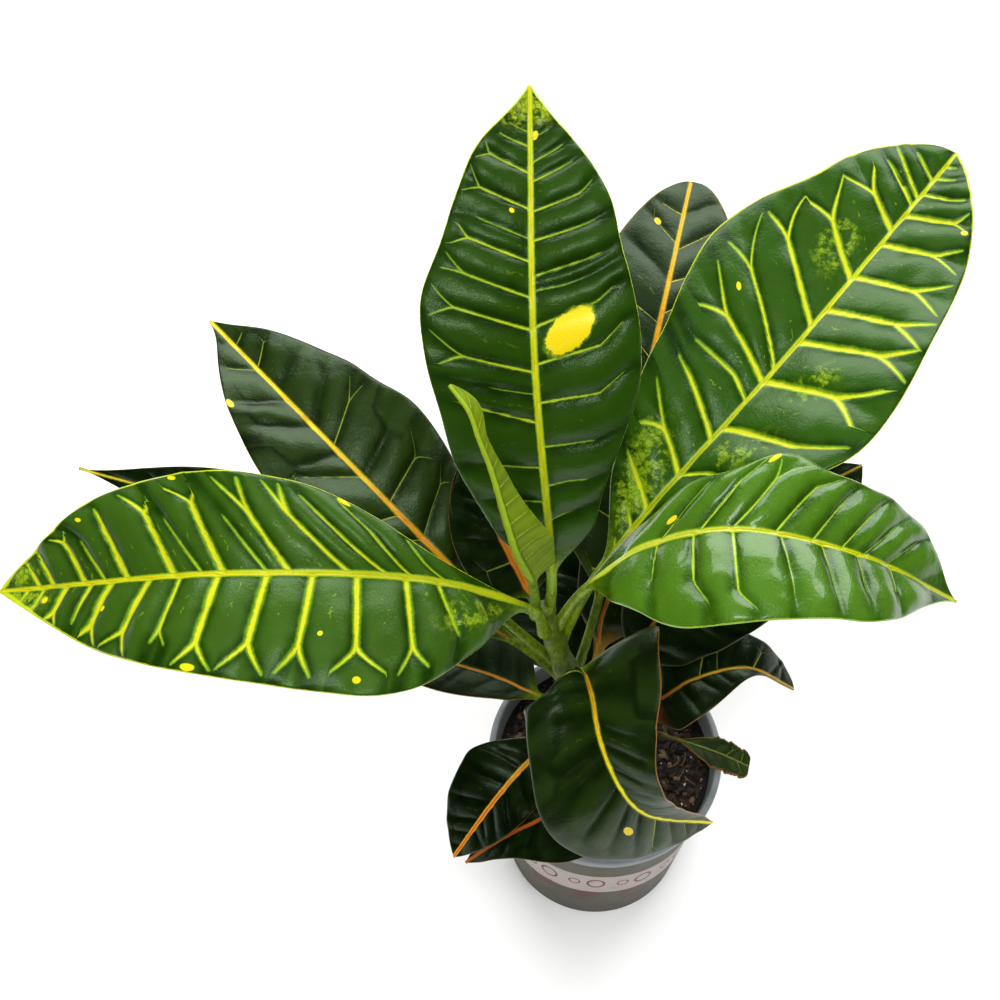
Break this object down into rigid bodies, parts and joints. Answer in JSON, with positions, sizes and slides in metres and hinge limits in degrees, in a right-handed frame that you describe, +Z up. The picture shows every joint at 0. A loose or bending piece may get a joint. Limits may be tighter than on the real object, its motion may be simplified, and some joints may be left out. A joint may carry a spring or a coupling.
{
  "type": "potted croton",
  "caption": "Broad-leaved house plant with veined, waved blades on a leaning stem, standing in a round nursery pot of potting mix.",
  "frame": {"origin": "centre of the pot's flat foot, on the surface that the pot stands on", "axes": "+Z up along the pot's axis, -Y towards the viewer, +X to the viewer's right"},
  "size_m": [0.4142, 0.3074, 0.4005],
  "materials": {
    "pot_plastic": "satin",
    "potting_mix": "matte",
    "stem_green": "matte",
    "leaf_bright": "satin",
    "leaf_glossy": "gloss",
    "leaf_dark": "satin",
    "leaf_young": "satin",
    "leaf_olive": "matte"
  },
  "bodies": {
    "root": {"pot": "pot_plastic", "soil": "potting_mix", "stem": "stem_green", "leaf_upright": "leaf_bright", "leaf_upper_right": "leaf_bright", "leaf_right": "leaf_glossy", "leaf_left": "leaf_bright", "leaf_rolled": "leaf_young", "leaf_dark_left": "leaf_dark", "leaf_dark_back": "leaf_dark", "leaf_dark_inner": "leaf_dark", "leaf_dark_far_left": "leaf_dark", "leaf_dark_under_left": "leaf_dark", "leaf_front": "leaf_dark", "leaf_low_left": "leaf_dark", "leaf_low_left_under": "leaf_dark", "leaf_low_right": "leaf_dark", "leaf_dark_right": "leaf_dark", "leaf_dark_behind": "leaf_dark", "leaf_dark_low_back": "leaf_dark", "leaf_torn": "leaf_olive"}
  },
  "joints": []
}
